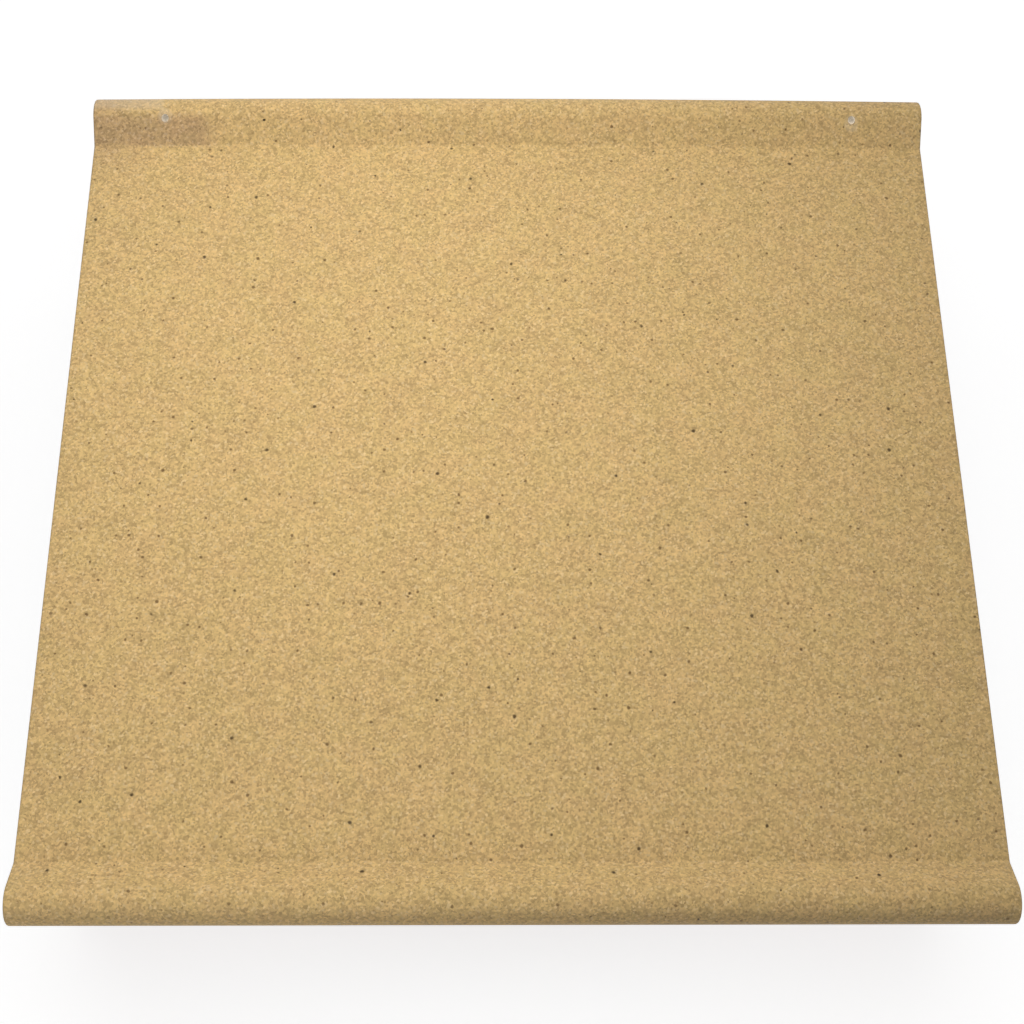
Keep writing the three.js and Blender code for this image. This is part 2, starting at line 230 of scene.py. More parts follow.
class ClampSettings(bpy.types.PropertyGroup):
    """Sizes and colours of the sprung clamps."""

    strip: length("Strip thickness", 1.0, "Thickness of the clamp's steel strip")
    corner: length("Corner round", 1.2, "Radius at the corners of the leaf and windows")
    tab_corner: length("Tab corner round", 2.4, "Radius at the corners of the finger tab")
    tab_width: length("Tab width", 44, "Width of the finger tab")
    tab_flare: length("Tab flare", 1.75, "How far the tab turns out")
    window: length("Spring window", 7, "Width of each window that a spring sits in")
    wire: length("Wire radius", 0.35, "Radius of the spring wire")
    turns: count("Coil turns", 3, "Whole turns in each torsion spring")
    zinc: colour("Zinc", (0.56, 0.57, 0.58), "Colour of the plated spring steel")
    rubber: colour("Rubber", (0.018, 0.018, 0.018), "Colour of the grip pads")


class StageSettings(bpy.types.PropertyGroup):
    """The camera, lights and floor."""

    lens: amount("Lens", 61.60, "Focal length in millimetres on a 36 mm frame")
    elevation: angle("Elevation", 65.29, "Camera height above the horizon")
    azimuth: angle("Azimuth", -3.25, "Camera turn about the vertical")
    roll: angle("Roll", 3.168, "Camera roll about its line of sight")
    distance: length("Distance", 220.44, "From the camera to the palm")
    aim_forward: length("Aim forward", 5.92, "Aim point in front of the palm's middle")
    aim_left: length("Aim left", 0.06, "Aim point to the left of the palm's middle")
    key_height: length("Key height", 160.3, "Key light above the palm")
    key_left: length("Key left", 0.5, "Key light to the left of the palm's middle")
    key_back: length("Key back", 62.0, "Key light behind the palm's middle")
    key_size: length("Key size", 60, "Side of the key light's square panel")
    key_power: amount("Key power", 0.188, "Power of the key light in watts")
    key_spread: angle("Key spread", 143, "Width of the key light's beam")
    lip_power: amount("Lip light power", 0.018, "Power of the front lip's strip light in watts")
    top_power: amount("Top power", 0.55, "Power of the panel over the floor in watts")
    fill_power: amount("Fill power", 0.9, "Power of each panel that lights the sides in watts")
    sky: amount("Sky", 0.29, "Brightness of the surroundings overhead")
    low_sky: amount("Low sky", 0.22, "Brightness of the surroundings underneath")
    floor_glow: amount("Floor glow", 0.70, "How much the white floor lights itself")
    floor: colour("Floor", (0.90, 0.90, 0.90), "Colour of the floor")


class BlockSettings(bpy.types.PropertyGroup):
    """Everything that can be set on the sanding block."""

    cover: bpy.props.PointerProperty(type=CoverSettings)
    body: bpy.props.PointerProperty(type=BodySettings)
    pad: bpy.props.PointerProperty(type=PadSettings)
    clamp: bpy.props.PointerProperty(type=ClampSettings)
    stage: bpy.props.PointerProperty(type=StageSettings)


# ---------------------------------------------------------------- shader building


class Field:
    """A number that varies over a surface. Arithmetic on it adds Math nodes."""

    def __init__(self, finish, socket):
        self.finish = finish
        self.socket = socket

    def math(self, operation, *values):
        """The field that a Math node gives."""
        inputs = dict(enumerate(values))
        node = self.finish.node("ShaderNodeMath", {"operation": operation}, inputs)
        return Field(self.finish, node.outputs[0])

    def __add__(self, other):
        return self.math("ADD", self, other)

    def __radd__(self, other):
        return self.math("ADD", other, self)

    def __sub__(self, other):
        return self.math("SUBTRACT", self, other)

    def __rsub__(self, other):
        return self.math("SUBTRACT", other, self)

    def __mul__(self, other):
        return self.math("MULTIPLY", self, other)

    def __rmul__(self, other):
        return self.math("MULTIPLY", other, self)

    def __abs__(self):
        return self.math("ABSOLUTE", self)

    def less_than(self, limit):
        return self.math("LESS_THAN", self, limit)

    def bigger(self, other):
        return self.math("MAXIMUM", self, other)

    def wave(self):
        return self.math("SINE", self)


class Graph:
    """A node tree that is built from expressions."""

    def __init__(self, tree):
        self.tree = tree
        self.tree.nodes.clear()

    def node(self, kind, settings=None, inputs=None):
        """Adds a node, makes its settings, then feeds its sockets with values or links."""
        node = self.tree.nodes.new(kind)
        for name, value in (settings or {}).items():
            setattr(node, name, value)
        for name, value in (inputs or {}).items():
            if isinstance(value, Field):
                self.tree.links.new(value.socket, node.inputs[name])
            elif isinstance(value, bpy.types.NodeSocket):
                self.tree.links.new(value, node.inputs[name])
            else:
                node.inputs[name].default_value = value
        return node

    def step(self, value, low, high):
        """0 at low and 1 at high, with a smooth rise between them."""
        node = self.node("ShaderNodeMapRange", {"interpolation_type": "SMOOTHSTEP"}, {
            "Value": value, "From Min": low, "From Max": high,
        })
        return Field(self, node.outputs[0])

    def mix(self, share, low, high):
        """A colour between low and high, which are (r, g, b) colours or links."""
        low, high = [(*value, 1.0) if isinstance(value, tuple) else value for value in (low, high)]
        node = self.node("ShaderNodeMix", {"data_type": "RGBA"}, {0: share, 6: low, 7: high})
        return node.outputs[2]

    def parts(self, vector):
        """The x, y and z of a vector."""
        node = self.node("ShaderNodeSeparateXYZ", {}, {0: vector})
        return [Field(self, socket) for socket in node.outputs]


class Finish(Graph):
    """One procedural material."""

    def __init__(self, name):
        self.material = bpy.data.materials.new(name)
        self.material.use_nodes = True
        super().__init__(self.material.node_tree)
        self.surface = self.node("ShaderNodeBsdfPrincipled")
        self.node("ShaderNodeOutputMaterial", {}, {"Surface": self.surface.outputs["BSDF"]})
        place = self.node("ShaderNodeTexCoord").outputs["Object"]
        self.place = self.scaled(place, 1 / MM)

    def set(self, constants):
        """Sets the surface's sockets to constants, by name."""
        for name, value in constants.items():
            self.surface.inputs[name].default_value = value

    def drive(self, name, value):
        """Feeds a surface socket with something that varies."""
        socket = value.socket if isinstance(value, Field) else value
        self.tree.links.new(socket, self.surface.inputs[name])

    def stretched(self, x, y, z):
        """Places in millimetres, multiplied along each axis: a small factor makes a long streak."""
        return self.multiplied(self.place, (x, y, z))

    def noise(self, size, detail=2.0, roughness=0.5, place=None):
        """Smooth noise about 0.5, with features of a size in millimetres."""
        node = self.node("ShaderNodeTexNoise", {"noise_dimensions": "3D"}, {
            "Vector": place or self.place, "Scale": 1 / size, "Detail": detail,
            "Roughness": roughness,
        })
        return Field(self, node.outputs[0])

    def cells(self, size, place=None):
        """Distance to the nearest cell's middle in cell sizes, and three numbers for that cell."""
        node = self.node("ShaderNodeTexVoronoi", {"voronoi_dimensions": "3D", "feature": "F1"}, {
            "Vector": place or self.place, "Scale": 1 / size,
        })
        split = self.node("ShaderNodeSeparateColor", {}, {0: node.outputs["Color"]})
        return Field(self, node.outputs["Distance"]), [Field(self, out) for out in split.outputs]

    def scaled(self, value, factor):
        """A colour or a place multiplied by a number, which may vary."""
        node = self.node("ShaderNodeVectorMath", {"operation": "SCALE"}, {
            0: value, "Scale": factor,
        })
        return node.outputs[0]

    def multiplied(self, one, two):
        """Two colours or places multiplied channel by channel."""
        node = self.node("ShaderNodeVectorMath", {"operation": "MULTIPLY"}, {0: one, 1: two})
        return node.outputs[0]

    def relief(self, height, depth):
        """Bump from a height of 0 to 1 that stands for a depth in millimetres."""
        node = self.node("ShaderNodeBump", {}, {
            "Height": height, "Distance": depth * MM, "Strength": 1.0,
        })
        self.drive("Normal", node.outputs[0])


def specks(finish, place, cell, radius, share, faint):
    """A mask of specks, up to one in each cell, of which a share is kept.

    It is 1 inside the strongest speck and faint inside the weakest. Sizes are in millimetres.
    """
    distance, (pick, size, strength) = finish.cells(cell, place)
    reach = (0.45 + 0.55 * size) * (radius / cell)
    inside = 1 - finish.step(distance, 0.45 * reach, 1.1 * reach)
    return inside * pick.less_than(share) * (faint + (1 - faint) * strength)


# ---------------------------------------------------------------- finishes


def cork_finish(look):
    """Fine pressed cork: mottled tan granules with painted glints, bark specks, and a rear-left
    corner with a painted sheen on its bead and a darker patch.
    """
    cork = Finish("cork_composition")
    olive, rosy = (0.530, 0.380, 0.148), (0.563, 0.365, 0.162)
    brown_speck, dark_speck = (0.17, 0.085, 0.026), (0.080, 0.036, 0.010)
    # Tints for the darker patch on the rear lip: none, and darker and a little bluer.
    no_tint, darker_tint = (1.0, 1.0, 1.0), (0.79, 0.77, 0.88)
    # The colour of the painted sheen on the rear bead, and of crushed cork round the pins.
    painted_sheen_colour, crushed_cork = (0.62, 0.50, 0.36), (0.72, 0.58, 0.40)

    _, (granule, shine, _) = cork.cells(0.25)
    _, (cluster, _, _) = cork.cells(0.38)
    haze = cork.noise(2.2)
    cloud = cork.noise(14.0)
    blush = cork.step(cork.noise(3.4, 2.0, 0.55), 0.30, 0.70)
    mottle = 0.50 * (granule - 0.5) + 0.16 * (cluster - 0.5)
    drift = 0.14 * (haze - 0.5) + 0.05 * (cloud - 0.5)
    hue = cork.mix(blush, olive, rosy)
    base = cork.scaled(cork.mix(0.7, hue, tuple(look.base)), 0.99 + mottle + drift)
    # Painted glints: one granule in ten is painted towards the pale colour.
    base = cork.mix((1 - shine.less_than(0.90)) * 0.38, base, tuple(look.pale))

    bent = bent_place(cork, 0.5, 0.22)
    tiny = specks(cork, bent, cell=0.85, radius=0.22, share=0.80, faint=0.40)
    small = specks(cork, bent, cell=1.50, radius=0.27, share=0.75, faint=0.45)
    large = specks(cork, bent, cell=3.20, radius=0.34, share=0.60, faint=0.80)
    base = cork.mix(tiny * 0.50, base, brown_speck)
    base = cork.mix(small * 0.86, base, dark_speck)
    base = cork.mix(large, base, tuple(look.bark))

    sheen_patch, darker_patch, halo = rear_lip_sheen_and_patch(cork)
    # The cork is multiplied darker and a little bluer where the darker patch is.
    base = cork.multiplied(base, cork.mix(darker_patch, no_tint, darker_tint))
    # Painted sheen: the rear bead's left end is painted lighter and paler.
    base = cork.mix(sheen_patch * 0.30, base, painted_sheen_colour)
    base = cork.mix(halo * 0.26, base, crushed_cork)
    cork.drive("Base Color", base)
    cork.drive("Roughness", 0.52 + 0.16 * granule - 0.08 * sheen_patch)
    cork.relief(granule * 0.55 + cluster * 0.25 - large * 0.4 - small * 0.2, 0.03)
    cork.set({"Specular IOR Level": 0.38})
    return cork.material


def bent_place(finish, size, reach):
    """Places pushed about by noise of a size, so that round specks come out ragged."""
    noise = finish.node("ShaderNodeTexNoise", {"noise_dimensions": "3D"}, {
        "Vector": finish.place, "Scale": 1 / size, "Detail": 1.0,
    })
    push = finish.scaled(noise.outputs[1], reach)
    node = finish.node("ShaderNodeVectorMath", {"operation": "ADD"}, {0: finish.place, 1: push})
    return node.outputs[0]


def rear_lip_sheen_and_patch(cork):
    """Masks of the rear lip: a painted sheen on its bead, a darker patch on its ramp and flat, and
    crushed cork round each pin.

    Distances are in millimetres from the block's left side, rear and top.
    """
    x, y, z = cork.parts(cork.place)
    patchy = cork.noise(1.6, 3.0, 0.6)
    left = -CAD_BOUNDS[1].x / MM
    rear = CAD_BOUNDS[1].y / MM
    top = CAD_BOUNDS[1].z / MM
    # Painted sheen: a lighter, paler patch on the left end of the rear bead's top, which is also
    # made a little glossier.
    sheen_patch = cork.step(y, rear - 4.2, rear - 3.2) * (1 - cork.step(x, left + 9.3, left + 9.9))
    sheen_patch = sheen_patch * cork.step(z, top - 3.4, top - 1.9) * (0.45 + 0.9 * patchy)
    # A darker patch: on the left end of the rear ramp, and on the flat by the left side.
    ramp = cork.step(y, rear - 8.4, rear - 7.4) * (1 - cork.step(y, rear - 5.2, rear - 3.8))
    near_end = 1 - cork.step(x, left + 14.0, left + 18.0)
    flat = cork.step(y, rear - 15.0, rear - 8.0) * (1 - cork.step(x, left + 2.0, left + 9.0))
    darker_patch = (ramp * near_end).bigger(flat * 0.6) * (0.55 + 0.9 * patchy)
    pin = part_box("lip_pin_2")
    middle = (pin[0] + pin[1]) / 2 / MM
    aside, behind = abs(x) - abs(middle.x), y - middle.y + 0.3
    halo = 1 - cork.step(aside * aside + behind * behind, 0.5, 1.3)
    return sheen_patch, darker_patch, halo * (0.4 + patchy)


def plastic_finish(look):
    """Black moulding with a fine spark-eroded texture and faint handling marks."""
    plastic = Finish("body_moulding")
    grain = plastic.noise(0.16, 3.0, 0.65)
    smear = plastic.noise(9.0, 3.0, 0.6)
    base = plastic.mix(smear * 0.5, tuple(look.plastic), (0.052, 0.051, 0.050))
    plastic.drive("Base Color", base)
    plastic.drive("Roughness", 0.42 + 0.16 * grain + 0.10 * smear)
    plastic.relief(grain, 0.035)
    return plastic.material


def aluminium_finish(look):
    """Sawn aluminium: fine strokes along the edge, and a duller patch here and there."""
    metal = Finish("sole_aluminium")
    strokes = metal.noise(0.09, 3.0, 0.6, metal.stretched(1.0, 0.04, 1.0))
    dull = metal.noise(6.0, 2.0, 0.5)
    metal.drive("Base Color", metal.mix(dull * 0.5, tuple(look.metal), (0.46, 0.47, 0.49)))
    metal.drive("Roughness", 0.26 + 0.22 * strokes + 0.12 * dull)
    metal.relief(strokes, 0.02)
    metal.set({"Metallic": 1.0})
    return metal.material


def steel_finish(name, tone, low, streaks):
    """Steel with drawn or rolled streaks along X and faint staining."""
    steel = Finish(name)
    drawn = steel.noise(0.12, 3.0, 0.6, steel.stretched(streaks, 1.0, 1.0))
    stain = steel.noise(3.5, 4.0, 0.6)
    dark = tuple(0.66 * channel for channel in tone)
    steel.drive("Base Color", steel.mix(stain * 0.55, tuple(tone), dark))
    steel.drive("Roughness", low + 0.14 * drawn + 0.12 * stain)
    steel.relief(drawn, 0.01)
    steel.set({"Metallic": 1.0})
    return steel.material


def brass_finish(look):
    """Turned brass, a little tarnished."""
    brass = Finish("insert_brass")
    tarnish = brass.noise(0.8, 3.0, 0.6)
    brass.drive("Base Color", brass.mix(tarnish * 0.6, tuple(look.brass), (0.35, 0.22, 0.08)))
    brass.drive("Roughness", 0.28 + 0.22 * tarnish)
    brass.set({"Metallic": 1.0})
    return brass.material


def foam_finish(look):
    """Closed-cell foam with open pores along its cut sides, painted dark inside as painted shade.
    """
    foam = Finish("pad_foam")
    distance, (pick, tone, _) = foam.cells(0.48)
    pores = (1 - foam.step(distance, 0.14, 0.46)) * pick.less_than(0.78)
    cloud = foam.noise(2.4, 3.0, 0.6)
    base = foam.mix(cloud * 0.6, tuple(look.foam), (0.150, 0.156, 0.165))
    # Painted shade: the pores are painted dark.
    foam.drive("Base Color", foam.mix(pores * 0.8, base, (0.022, 0.024, 0.027)))
    foam.drive("Roughness", 0.86 + 0.1 * tone)
    foam.relief(1 - pores * 0.9 + cloud * 0.3, 0.12)
    foam.set({"Specular IOR Level": 0.3})
    return foam.material


def grit_finish(look):
    """Mineral grains in a dark resin bond, with the odd grain painted lighter as a painted glint on
    its facet.
    """
    grit = Finish("abrasive_grit")
    size = look.grit_size / MM
    distance, (pick, tone, glint) = grit.cells(size)
    coarse, _ = grit.cells(size * 2.2)
    cloud = grit.noise(7.0, 3.0, 0.55)
    grain = 1 - grit.step(distance, 0.15, 0.62)
    base = grit.mix(grain * (0.35 + 0.65 * tone), tuple(look.glue), tuple(look.grit))
    # Painted glints: about one grain in six is painted lighter.
    base = grit.mix((1 - pick.less_than(0.84)) * 0.42 * grain, base, (0.50, 0.30, 0.22))
    base = grit.mix(cloud * 0.22, base, (0.33, 0.125, 0.07))
    grit.drive("Base Color", base)
    grit.drive("Roughness", 0.95 - 0.45 * grain * glint)
    grit.relief(grain * (0.5 + 0.5 * tone) + coarse * 0.3, 0.16)
    return grit.material


def backing_finish(look):
    """Brown cloth backing of the sheet, with its weave."""
    backing = Finish("sheet_backing")
    x, y, z = backing.parts(backing.place)
    pitch = 2 * math.pi / 0.36
    weave = (x * pitch).wave() * ((y + z) * pitch).wave()
    fuzz = backing.noise(0.7, 3.0, 0.6)
    base = backing.mix(fuzz * 0.7, tuple(look.backing), (0.34, 0.22, 0.11))
    backing.drive("Base Color", backing.mix(0.18 * (weave + 1), base, (0.20, 0.12, 0.055)))
    backing.drive("Roughness", 0.8 + 0.15 * fuzz)
    backing.relief(0.5 + 0.4 * weave + 0.2 * fuzz, 0.05)
    return backing.material


def rubber_finish(look):
    """Matt black rubber with a little bloom."""
    rubber = Finish("grip_rubber")
    bloom = rubber.noise(2.2, 4.0, 0.6)
    rubber.drive("Base Color", rubber.mix(bloom * 0.4, tuple(look.rubber), (0.055, 0.055, 0.053)))
    rubber.drive("Roughness", 0.62 + 0.25 * bloom)
    rubber.relief(rubber.noise(0.25, 3.0, 0.6), 0.03)
    return rubber.material


# ---------------------------------------------------------------- mesh building


def finished(name, mesh, body, slot, *materials):
    """Puts a mesh in the scene as a piece that rides on a body."""
    for material in materials:
        mesh.materials.append(material)
    piece = bpy.data.objects.new(name, mesh)
    bpy.context.scene.collection.objects.link(piece)
    if body is not None:
        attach(piece, body)
    return piece


def to_mesh(name, shape, sharp=CREASE):
    """Turns a bmesh into a mesh with smooth faces and sharp edges past an angle."""
    bmesh.ops.remove_doubles(shape, verts=shape.verts, dist=1e-8)
    bmesh.ops.recalc_face_normals(shape, faces=shape.faces)
    mesh = bpy.data.meshes.new(name)
    shape.to_mesh(mesh)
    shape.free()
    smooth(mesh, sharp)
    return mesh


def smooth(mesh, sharp):
    """Shades a mesh smooth, but for edges that bend more than an angle."""
    mesh.polygons.foreach_set("use_smooth", [True] * len(mesh.polygons))
    mesh.set_sharp_from_angle(angle=sharp)


def settled(mesh, name, *modifiers):
    """A mesh with modifiers applied. Each modifier is given as its type and its settings."""
    worker = bpy.data.objects.new(name, mesh)
    bpy.context.scene.collection.objects.link(worker)
    for kind, settings in modifiers:
        modifier = worker.modifiers.new(kind.title(), kind)
        for key, value in settings.items():
            setattr(modifier, key, value)
    graph = bpy.context.evaluated_depsgraph_get()
    result = bpy.data.meshes.new_from_object(worker.evaluated_get(graph))
    result.name = name
    bpy.data.objects.remove(worker)
    return result


def rounded(width, segments=3, limit=CORNER):
    """Bevel settings that round every edge sharper than a limit."""
    return ("BEVEL", {
        "width": width, "segments": segments, "limit_method": "ANGLE", "angle_limit": limit,
        "harden_normals": False, "use_clamp_overlap": True, "miter_outer": "MITER_ARC",
    })


def arc(centre, radius, start, end, segments):
    """Points on an arc in the (y, z) plane, both ends included."""
    turn = [start + (end - start) * step / segments for step in range(segments + 1)]
    return [(centre[0] + radius * math.cos(a), centre[1] + radius * math.sin(a)) for a in turn]


def fillet(before, corner, after, radius, segments=6):
    """The points of a round that replaces a corner."""
    corner, before, after = Vector(corner), Vector(before), Vector(after)
    one, two = (before - corner).normalized(), (after - corner).normalized()
    half = one.angle(two) / 2
    reach = min(radius / math.tan(half), (before - corner).length / 2, (after - corner).length / 2)
    start, end = corner + one * reach, corner + two * reach
    points = []
    for step in range(segments + 1):
        share = step / segments
        points.append(tuple(
            start * (1 - share) ** 2 + corner * 2 * share * (1 - share) + end * share ** 2
        ))
    return points


def inset(outline, depth):
    """An outline moved inward. The outline runs anticlockwise."""
    moved = []
    total = len(outline)
    for index, here in enumerate(outline):
        before, after = Vector(outline[index - 1]), Vector(outline[(index + 1) % total])
        here = Vector(here)
        one, two = (here - before).normalized(), (after - here).normalized()
        normal = Vector((-(one.y + two.y), one.x + two.x)).normalized()
        stretch = 1 / max(normal.dot(Vector((-one.y, one.x))), 0.5)
        moved.append(tuple(here + normal * depth * min(stretch, 1.5)))
    return moved


def swept(outline, low, high, edge, edge_segments=4, spans=1):
    """An anticlockwise (y, z) outline run along X, with its end edges rounded."""
    left = [(low + run, drop) for run, drop in end_round(edge, edge_segments)]
    right = [(high - run, drop) for run, drop in reversed(end_round(edge, edge_segments))]
    start, end = left[-1][0], right[0][0]
    middle = [(start + (end - start) * step / spans, 0.0) for step in range(1, spans)]
    shape = bmesh.new()
    rings = []
    for x, drop in left + middle + right:
        points = inset(outline, drop) if drop > 0 else outline
        rings.append([shape.verts.new((x, y, z)) for y, z in points])
    for one, two in zip(rings, rings[1:]):
        for index in range(len(outline)):
            follow = (index + 1) % len(outline)
            shape.faces.new((one[index], two[index], two[follow], one[follow]))
    shape.faces.new(rings[0])
    shape.faces.new(rings[-1][::-1])
    return shape


def end_round(edge, segments):
    """Steps of a rounded end edge, from the end face in: how far along X, and how far inward."""
    steps = []
    for step in range(segments + 1):
        turn = math.pi / 2 * step / segments
        steps.append((edge * (1 - math.cos(turn)), edge * (1 - math.sin(turn))))
    return steps


def turned(profile, segments=40):
    """A shape turned about Z from [radius, height] pairs that start and end on the axis."""
    shape = bmesh.new()
    rings = []
    for radius, height in profile:
        if radius <= 0:
            rings.append([shape.verts.new((0, 0, height))])
            continue
        rings.append([
            shape.verts.new((radius * math.cos(a), radius * math.sin(a), height))
            for a in (2 * math.pi * step / segments for step in range(segments))
        ])
    for one, two in zip(rings, rings[1:]):
        for index in range(segments):
            corners = (
                one[index % len(one)], one[(index + 1) % len(one)],
                two[(index + 1) % len(two)], two[index % len(two)],
            )
            shape.faces.new(list(dict.fromkeys(corners)))
    return shape


def tube(points, radius, sides=12):
    """A round wire along points, with closed ends."""
    shape = bmesh.new()
    points = [Vector(point) for point in points]
    across = Vector((1, 0, 0))
    rings = []
    for index, here in enumerate(points):
        before, after = points[max(index - 1, 0)], points[min(index + 1, len(points) - 1)]
        along = (after - before).normalized()
        across = (across - along * across.dot(along)).normalized()
        other = along.cross(across)
        turns = [2 * math.pi * step / sides for step in range(sides)]
        rings.append([
            shape.verts.new(here + (across * math.cos(a) + other * math.sin(a)) * radius)
            for a in turns
        ])
    for one, two in zip(rings, rings[1:]):
        for index in range(sides):
            follow = (index + 1) % sides
            shape.faces.new((one[index], one[follow], two[follow], two[index]))
    shape.faces.new(rings[0][::-1])
    shape.faces.new(rings[-1])
    return shape


def softened(node, width, segments=3):
    """A CAD node's shape with its flat faces made whole and its outer edges rounded.

    The rims of small holes and of the finger grooves stay sharp, and so does what is shut inside.
    """
    shape = bmesh.new()
    shape.from_mesh(frame["nodes"][node].data)
    bmesh.ops.remove_doubles(shape, verts=shape.verts, dist=1e-6)
    bmesh.ops.dissolve_limit(
        shape, angle_limit=math.radians(1), verts=shape.verts, edges=shape.edges,
    )
    low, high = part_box(node)
    groove_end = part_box("sole_plate")[1].y - GROOVE_LAND
    share = shape.edges.layers.float.new("bevel_weight_edge")
    for edge in shape.edges:
        sharp = len(edge.link_faces) == 2 and edge.calc_face_angle() > CORNER
        ends = [vertex.co for vertex in edge.verts]
        seen = all(
            max(abs(end.x) / high.x, abs(end.y) / high.y) > SEEN_SHARE for end in ends
        )
        in_groove = all(
            abs(end.y) < groove_end + FUSE and low.z + MM < end.z < high.z - MM for end in ends
        )
        rounds = sharp and seen and not in_groove and edge.calc_length() > RIM_STEP
        edge[share] = 1.0 if rounds else 0.0
        edge.smooth = rounds or not sharp
    for face in shape.faces:
        face.smooth = True
    mesh = bpy.data.meshes.new(node + "_soft")
    shape.to_mesh(mesh)
    shape.free()
    kind, settings = rounded(width, segments)
    settings.update({
        "limit_method": "WEIGHT", "face_strength_mode": "FSTR_ALL", "use_clamp_overlap": False,
    })
    faired = ("WEIGHTED_NORMAL", {"keep_sharp": True, "weight": 50, "use_face_influence": True})
    return settled(mesh, node + "_rounded", (kind, settings), faired)


# ---------------------------------------------------------------- palm cover


def lip_outline(look):
    """The cover's section from the deck's edge round the rear lip to the crease."""
    low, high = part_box("palm_cover")
    radius, slope = look.bead_radius, look.ramp_angle
    under_round = 0.6 * MM
    centre = (high.y - radius, high.z - radius)
    deck_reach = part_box("body")[1].y
    palm = palm_height()
    crease_y = centre[0] - (radius + (centre[1] - palm) * math.cos(slope)) / math.sin(slope)
    round_bead = arc(centre, radius, -math.pi / 2, math.pi / 2 + slope, 48)
    flat_end = (crease_y - 4 * MM, palm)
    crease = fillet(round_bead[-1], (crease_y, palm), flat_end, look.crease_round)
    under = fillet((0, low.z), (deck_reach, low.z), round_bead[0], under_round)
    return [*under, *round_bead, *crease]


def palm_height():
    """Height of the palm flat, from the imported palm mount."""
    mounts = {mount["name"]: mount for mount in frame["record"]["mounts"]}
    return mounts["palm_face"]["pos_m"][2]


def cover_mesh(look):
    """The cork cover with its bowed rear lip, bored for both pins."""
    low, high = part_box("palm_cover")
    rear = lip_outline(look)
    front = [(-y, z) for y, z in reversed(rear)]
    shape = swept(rear + front, low.x, high.x, look.edge_round, spans=46)
    for vertex in shape.verts:
        if vertex.co.y > 0:
            vertex.co.y += lip_drift(look, vertex.co.x) * vertex.co.y / high.y
    mesh = to_mesh("palm_cover_blank", shape)
    holes = bmesh.new()
    bore = look.pin_head + 0.02 * MM
    deep, proud = -9 * MM, 3 * MM
    for index in (1, 2):
        drill = turned([(0, deep), (bore, deep), (bore, proud), (0, proud)])
        drill.transform(pin_place(look, index))
        drill_mesh = bpy.data.meshes.new("pin_hole")
        drill.to_mesh(drill_mesh)
        drill.free()
        holes.from_mesh(drill_mesh)
    bmesh.ops.recalc_face_normals(holes, faces=holes.faces)
    cutter_mesh = bpy.data.meshes.new("pin_holes")
    holes.to_mesh(cutter_mesh)
    holes.free()
    cutter = bpy.data.objects.new("pin_holes", cutter_mesh)
    bpy.context.scene.collection.objects.link(cutter)
    result = settled(mesh, "palm_cover_cork", ("BOOLEAN", {"object": cutter, "solver": "EXACT"}))
    bpy.data.objects.remove(cutter)
    smooth(result, CREASE)
    return result


def lip_drift(look, x):
    """How far behind its straight line the rear lip sits at a place along it.

    It bows out in the middle, and its left end sits forward.
    """
    share = x / CAD_BOUNDS[1].x
    return look.rear_bow * (1 - share ** 2) - look.rear_skew * (1 - share) / 2


def pin_place(look, index):
    """Where a lip pin's head sits."""
    low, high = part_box(f"lip_pin_{index}")
    middle = (low + high) / 2
    return Matrix.Translation((middle.x, middle.y + lip_drift(look, middle.x), high.z))


def pin_mesh(look, index):
    """A drive pin whose low domed head leans with the lip, with the punch's dimple in it."""
    low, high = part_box(f"lip_pin_{index}")
    long = high.z - low.z
    head = look.pin_head
    shank = 0.8 * head
    neck, under_head, sunk = -0.9 * MM, -0.7 * MM, 0.12 * MM
    dome = [
        (head * math.cos(a), 0.28 * head * math.sin(a))
        for a in (math.pi / 2 * step / 6 for step in range(6))
    ]
    dimple = [(0.35 * head, 0.24 * head), (0.22 * head, 0.17 * head), (0, 0.15 * head)]
    shape = turned([
        (0, -long), (shank, -long + MM), (shank, neck), (head, under_head), *dome, *dimple,
    ])
    lean = math.tan(look.ramp_angle * 0.7)
    for vertex in shape.verts:
        if vertex.co.z > (neck + under_head) / 2:
            vertex.co.z += lean * vertex.co.y - sunk
    shape.transform(pin_place(look, index))
    return to_mesh(f"lip_pin_{index}_turned", shape)


class SANDING_OT_cover(bpy.types.Operator):
    """Add the cork palm cover and the two pins through its rear lip."""

    bl_idname = "sanding_block.cover"
    bl_label = "Palm cover"

    def execute(self, context):
        look = context.scene.sanding_block.cover
        cover = finished("palm_cover_cork", cover_mesh(look), "block", "cork", cork_finish(look))
        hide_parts("palm_cover")
        steel = steel_finish("pin_steel", (0.80, 0.70, 0.55), 0.45, 1.0)
        for index in (1, 2):
            mesh = pin_mesh(look, index)
            pin = finished(f"lip_pin_{index}_turned", mesh, "block", "bright_steel", steel)
            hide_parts(f"lip_pin_{index}")
        return {"FINISHED"}


# ---------------------------------------------------------------- body, sole and fasteners


